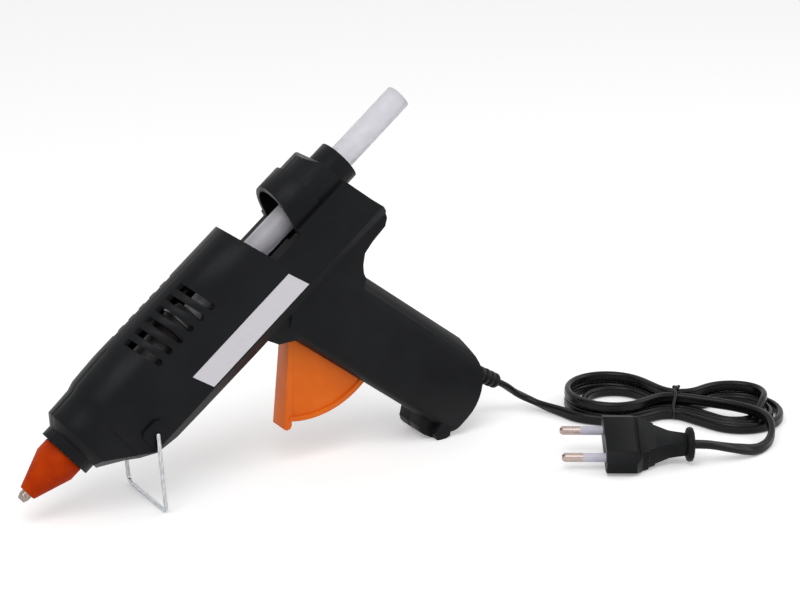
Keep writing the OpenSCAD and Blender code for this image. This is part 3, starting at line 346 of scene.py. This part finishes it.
# The lead joins part-way round the shoulder of the left-hand lobe and runs in to the waist
first_strand = half_strand(near_waist[0], near_bend[0], entry_reach, entry_radius)
hank_route = [(-p, -q, lower_layer) for p, q in first_strand][:0:-1][2:]
for turn in range(hank_turns):
    last = turn == hank_turns - 1
    reach, radius = right_lobe[turn]
    strand = half_strand(near_waist[turn], near_bend[turn], reach, radius)
    hank_route += [(p, -q, lower_layer) for p, q in strand]
    # The last turn climbs over the other two at the right-hand end and goes on in the upper layer
    end_reach, end_radius = right_lobe[0] if last else (reach, radius)
    for angle in lobe_angles:
        swing = ease((angle - swing_from) / swing_over)
        lift = ease((angle - climb_from) / climb_over) if last else 0
        at, r = reach + (end_reach - reach) * swing, radius + (end_radius - radius) * swing
        hank_route.append((at + r * math.cos(math.radians(angle)), r * math.sin(math.radians(angle)),
                           lower_layer + (upper_layer - lower_layer) * lift))
    level = upper_layer if last else lower_layer
    far_half = half_strand(far_waist[turn], far_bend[turn], end_reach, end_radius)
    hank_route += [(p, q, level) for p, q in far_half[::-1]]
    reach, radius = left_lobe[turn]
    strand = half_strand(far_waist[turn], far_bend[turn], reach, radius)
    hank_route += [(-p, q, level) for p, q in strand][1:]
    hank_route += [(-reach - radius * math.cos(math.radians(a)), -radius * math.sin(math.radians(a)), level)
                   for a in lobe_angles]
    near_half = half_strand(near_waist[turn + 1], near_bend[turn + 1], reach, radius)
    hank_route += [(-p, -q, level) for p, q in near_half[:0:-1]]
hank_route.append((0, -near_waist[hank_turns], upper_layer))

# One smooth curve through all the points, then a light smoothing of its samples
knots = [Vector(p) for p in lead_route + [on_hank(*p) for p in hank_route] + tail_route]
line = []
for i in range(len(knots) - 1):
    a, b, c, d = knots[max(i - 1, 0)], knots[i], knots[i + 1], knots[min(i + 2, len(knots) - 1)]
    steps = max(2, int((c - b).length / sample_mm))
    for t in [j / steps for j in range(steps)]:
        line.append(0.5 * (2 * b + (c - a) * t + (2 * a - 5 * b + 4 * c - d) * t * t
                           + (3 * b - a - 3 * c + d) * t ** 3))
line.append(knots[-1])
for sweep in range(smoothing_sweeps):
    line[2:-2] = [0.5 * line[i] + 0.25 * (line[i - 1] + line[i + 1]) for i in range(2, len(line) - 2)]
run = [0.0]
for i in range(1, len(line)):
    run.append(run[-1] + (line[i] - line[i - 1]).length)
flex_length = run[-1]

# Two cores side by side: the section is two circles that run into each other
core = flex_thick / 2
offset = flex_wide / 2 - core
open_angle = math.degrees(math.acos(-offset / core))
arc = [-open_angle + 2 * open_angle * i / core_steps for i in range(core_steps + 1)]
right_core = [(offset + core * math.cos(math.radians(a)), core * math.sin(math.radians(a))) for a in arc]
section = right_core[:-1] + [(-x, -y) for x, y in right_core[:-1]]
flat_start, flat_end, twist_run = 12, 8, 34
quarter_turn = math.radians(90)
corners, walls = [], []
for i, centre in enumerate(line):
    ahead = (line[min(i + 1, len(line) - 1)] - line[max(i - 1, 0)]).normalized()
    level_side = ahead.cross(Vector((0, 0, 1))).normalized()
    raised = level_side.cross(ahead)
    # Flat where it leaves the relief and enters the plug, on its edge in between
    tip = quarter_turn * ease((run[i] - flat_start) / twist_run)
    tip *= ease((flex_length - run[i] - flat_end) / twist_run)
    wide_way = level_side * math.cos(tip) + raised * math.sin(tip)
    thin_way = raised * math.cos(tip) - level_side * math.sin(tip)
    corners += [(centre + wide_way * x + thin_way * y) * mm for x, y in section]
sides = len(section)
for i in range(len(line) - 1):
    for k in range(sides):
        n = (k + 1) % sides
        walls.append((i * sides + k, i * sides + n, (i + 1) * sides + n, (i + 1) * sides + k))
walls.append(tuple(range(sides - 1, -1, -1)))
walls.append(tuple((len(line) - 1) * sides + k for k in range(sides)))
flex_mesh = bpy.data.meshes.new("mains_flex")
flex_mesh.from_pydata(corners, [], walls)
flex_mesh.polygons.foreach_set("use_smooth", [True] * len(walls))
mains_flex = bpy.data.objects.new("mains_flex", flex_mesh)
bpy.context.collection.objects.link(mains_flex)
flex_mesh.materials.append(cord_jacket)
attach(mains_flex, "gun")
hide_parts("cord_lead", "cord_hank", "cord_tail")

# Tie: a short twist-tie, a steel wire in a black plastic ribbon, wound once round the waist of
# the hank with its two ends twisted together on top.
bpy.ops.curve.primitive_bezier_circle_add()
hank_tie = bpy.context.active_object
hank_tie.name = "hank_tie"
band = [(-9.2, 0.9), (-10.6, 2.4), (-10.6, 4.6), (-8.6, 6.6), (-4.4, 10.9), (-1.0, 11.8), (3.4, 11.8),
        (6.0, 10.4), (8.2, 6.4), (8.2, 2.4), (6.8, 0.9), (-1.2, 0.8)]
band_sway = 0.6
hank_tie.data.splines.clear()
loop = hank_tie.data.splines.new("NURBS")
loop.points.add(len(band) - 1)
for point, (q, z) in zip(loop.points, band):
    point.co = [c * mm for c in on_hank(band_sway * math.sin(q), q, z)] + [1.0]
loop.use_cyclic_u = True
loop.order_u = 3
for end in (-1, 1):
    stub = hank_tie.data.splines.new("NURBS")
    twist = [(0, 1.0, 11.6), (0.4 * end, 0.6, 12.1), (0.9 * end, 1.0, 12.4),
             (1.2 * end, 1.8 + 0.4 * end, 12.5)]
    stub.points.add(len(twist) - 1)
    for point, (p, q, z) in zip(stub.points, twist):
        point.co = [c * mm for c in on_hank(p, q, z)] + [1.0]
    stub.use_endpoint_u = True
    stub.order_u = 3
hank_tie.data.dimensions = "3D"
hank_tie.data.resolution_u = 4
ribbon_radius_mm = 0.8
hank_tie.data.bevel_depth = ribbon_radius_mm * mm
hank_tie.data.bevel_resolution = 3
hank_tie.data.use_fill_caps = True
bpy.ops.object.select_all(action="DESELECT")
hank_tie.select_set(True)
bpy.context.view_layer.objects.active = hank_tie
bpy.ops.object.convert(target="MESH")
# PVC ribbon: black, thin, with a weak shine along its ridge.
tie_ribbon = moulded("black_pvc_ribbon", "#161617", "#222224", 0.5, 0.03, 0.4, patch_mm=4)
hank_tie.data.materials.clear()
hank_tie.data.materials.append(tie_ribbon)
bpy.ops.object.shade_smooth()
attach(hank_tie, "gun")
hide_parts("cord_tie")

# Plug: a flat two-pin plug moulded in one on the cord. Black PVC body, pale nylon sleeves at the
# pin roots, and nickel-plated brass pins.
# Moulded PVC: black and finely grained, duller than the cord.
plug_pvc = moulded("fine_grained_black_pvc", "#0c0d0e", "#131416", 0.45, 0.05, 0.42, patch_mm=10,
                   mirror=0.1)
dress("plug_body", plug_pvc)
soften("plug_body", 0.5)

# Pale nylon: a cool, faintly lilac white, smooth.
sleeve_nylon = moulded("pale_nylon_sleeve", "#bdbac8", "#d0ceda", 0.8, 0.02, 0.4, patch_mm=5)
dress("plug_sleeves", sleeve_nylon)

plug_turn = math.radians(-32)
# Plated brass: a warm grey shine that the socket's springs have rubbed lengthwise.
plated_pin = metal("nickel_plated_brass_pin", "#ad9c96", "#bcada7", 0.26, 2.4,
                   stretch=(0.25, 1.6, 1.6), turn=(0.0, 0.0, -plug_turn), depth_mm=0.004)
dress("plug_pins", plated_pin)


# Studio: a seamless white table, one large soft lamp over the left shoulder and a weaker one from
# the right, and an even white surround.
def background_rays(tree):
    """1 for the rays that see the background, straight or in metal and glass, and 0 for the rest."""
    ray = add(tree, "LightPath")
    seen = add(tree, "Math", links={0: ray.outputs["Is Camera Ray"], 1: ray.outputs["Is Glossy Ray"]},
               operation="MAXIMUM")
    seen = add(tree, "Math", links={0: seen.outputs[0], 1: ray.outputs["Is Transmission Ray"]},
               operation="MAXIMUM")
    return seen.outputs[0]


table_size = 8
bpy.ops.mesh.primitive_plane_add(size=table_size, location=(0, 0, 0))
table = bpy.context.active_object
table.name = "table"
# Matt paper: an even white without shine, a little darker only in the object's shadow.
paper, tree, shader = finish("white_paper")
place = add(tree, "TexCoord").outputs["Object"]
fibres_per_metre = 300.0
fibres = add(tree, "TexNoise", {"Scale": fibres_per_metre}, {"Vector": place})
white = add(tree, "ValToRGB", links={"Fac": fibres.outputs["Fac"]})
white.color_ramp.elements[0].color = linear("#f8f8f8")
white.color_ramp.elements[1].color = linear("#fbfbfb")
tree.links.new(white.outputs["Color"], shader.inputs["Base Color"])
shader.inputs["Roughness"].default_value = 0.9
shader.inputs["Specular IOR Level"].default_value = 0.0
shader.inputs["Emission Color"].default_value = (1, 1, 1, 1)
paper_lift = 0.26
lift = add(tree, "Math", {1: paper_lift}, {0: background_rays(tree)}, operation="MULTIPLY")
tree.links.new(lift.outputs[0], shader.inputs["Emission Strength"])
table.data.materials.append(paper)

# The surround is white to the eye and in metal and glass, and lights the object at a plain level
surround = bpy.data.worlds.new("white_surround")
surround.use_nodes = True
tree = surround.node_tree
tree.nodes["Background"].inputs["Color"].default_value = (1, 1, 1, 1)
room_light, seen_white = 0.62, 1.0
level = add(tree, "MapRange", {"To Min": room_light, "To Max": seen_white},
            {"Value": background_rays(tree)})
tree.links.new(level.outputs["Result"], tree.nodes["Background"].inputs["Strength"])
bpy.context.scene.world = surround

lamp_aim = Vector((-0.03, -0.02, 0.06))
for name, spot, size, watts in (("key_lamp", (-0.55, -0.5, 1.0), 0.7, 5.0),
                                ("fill_lamp", (0.8, -0.5, 0.7), 0.6, 1.8)):
    bpy.ops.object.light_add(type="AREA", location=spot)
    lamp = bpy.context.active_object
    lamp.name = name
    lamp.data.size = size
    lamp.data.energy = watts
    lamp.rotation_euler = (lamp_aim - Vector(spot)).to_track_quat("-Z", "Y").to_euler()

# Camera: a 90 mm lens on a 36 mm wide sensor, about 0.9 m away, 31 degrees to the left of the near
# side and 19 degrees above it.
camera_place = (-0.4496, -0.7109, 0.3539)
camera_tilt, camera_turn = math.radians(70.92), math.radians(-31.45)
bpy.ops.object.camera_add(location=camera_place, rotation=(camera_tilt, 0, camera_turn))
camera = bpy.context.active_object
camera.data.lens = 90
camera.data.sensor_width = 36
bpy.context.scene.camera = camera
bpy.context.scene.view_settings.view_transform = "Standard"
